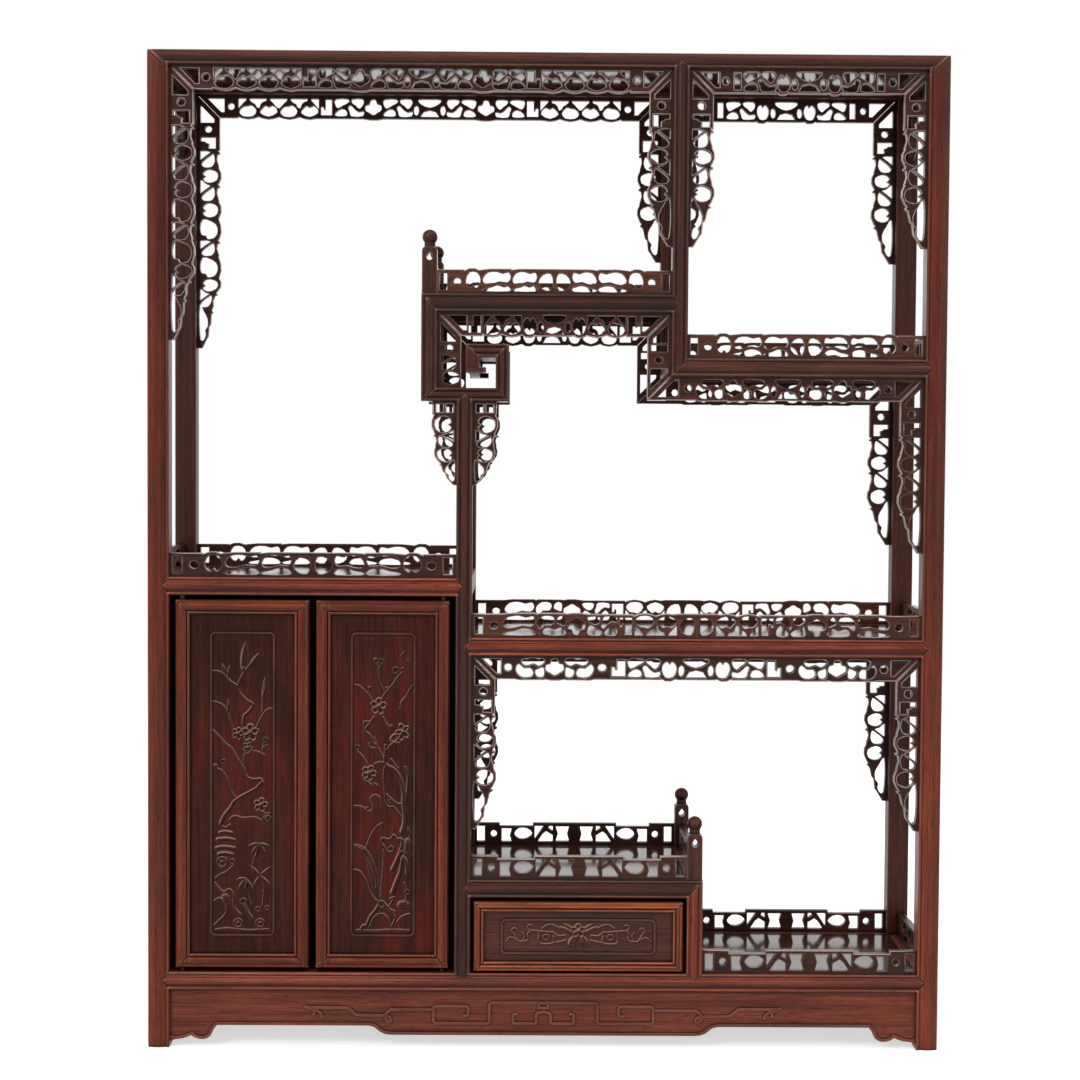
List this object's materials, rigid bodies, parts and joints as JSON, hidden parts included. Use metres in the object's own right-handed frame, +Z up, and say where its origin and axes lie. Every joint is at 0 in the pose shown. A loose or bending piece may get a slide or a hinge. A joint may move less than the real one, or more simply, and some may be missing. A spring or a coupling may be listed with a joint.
{
  "type": "tabletop shelf",
  "caption": "Carved hardwood tabletop display cabinet with staggered open shelves, pierced friezes and galleries, a cupboard with pivoting doors and a drawer.",
  "frame": {"origin": "centre of the footprint, at the level the posts stand on", "axes": "+Z up, +X to the right seen from the front, +Y to the back; the front with the doors faces -Y"},
  "size_m": [0.6, 0.156, 0.75],
  "materials": {
    "post_wood": "polished, dark reddish brown",
    "rail_wood": "polished, reddish brown",
    "board_wood": "polished, dark brown",
    "fret_wood": "carved, satin, dark brown"
  },
  "bodies": {
    "cabinet": {"post_front_left": "post_wood", "post_front_right": "post_wood", "post_back_left": "post_wood", "post_back_right": "post_wood", "top_rails": "post_wood", "top_panel": "board_wood", "base_rails": "rail_wood", "base_panel": "board_wood", "apron_front": "rail_wood", "apron_back": "rail_wood", "apron_ends": "rail_wood", "divider_posts": "post_wood", "upper_posts": "post_wood", "drawer_posts": "post_wood", "hook_frames": "post_wood", "hook_boards": "board_wood", "upper_shelf_rails": "rail_wood", "upper_shelf_panel": "board_wood", "right_shelf_rails": "rail_wood", "right_shelf_panel": "board_wood", "left_shelf_rails": "rail_wood", "left_shelf_panel": "board_wood", "middle_shelf_rails": "rail_wood", "middle_shelf_panel": "board_wood", "drawer_shelf_rails": "rail_wood", "drawer_shelf_panel": "board_wood", "frieze_top_left_front": "fret_wood", "frieze_top_left_back": "fret_wood", "frieze_top_right_front": "fret_wood", "frieze_top_right_back": "fret_wood", "frieze_upper_front": "fret_wood", "frieze_upper_back": "fret_wood", "frieze_right_front": "fret_wood", "frieze_right_back": "fret_wood", "frieze_middle_front": "fret_wood", "frieze_middle_back": "fret_wood", "frieze_ends": "fret_wood", "spandrels": "fret_wood", "gallery_upper": "fret_wood", "gallery_right": "fret_wood", "gallery_left": "fret_wood", "gallery_middle": "fret_wood", "gallery_drawer": "fret_wood", "gallery_base": "fret_wood", "finials_upper": "post_wood", "finials_drawer": "post_wood", "cupboard_end_panel": "board_wood", "cupboard_divider_panel": "board_wood", "cupboard_back_panel": "board_wood", "drawer_end_panel": "board_wood", "drawer_back_panel": "board_wood", "drawer_guides": "board_wood"},
    "door_left": {"door_left_frame": "post_wood", "door_left_panel": "board_wood"},
    "door_right": {"door_right_frame": "post_wood", "door_right_panel": "board_wood"},
    "drawer": {"drawer_front_frame": "rail_wood", "drawer_front_panel": "board_wood", "drawer_box": "board_wood"}
  },
  "joints": [
    {"name": "door_left_pivot", "type": "hinge", "parent": "cabinet", "child": "door_left", "pos_m": [-0.2737, -0.071, 0.0575], "axis": [0, 0, -1], "range_deg": [0, 100]},
    {"name": "door_right_pivot", "type": "hinge", "parent": "cabinet", "child": "door_right", "pos_m": [-0.0771, -0.071, 0.0575], "axis": [0, 0, 1], "range_deg": [0, 100]},
    {"name": "drawer_slide", "type": "slide", "parent": "cabinet", "child": "drawer", "axis": [0, -1, 0], "range_m": [0, 0.1]}
  ]
}
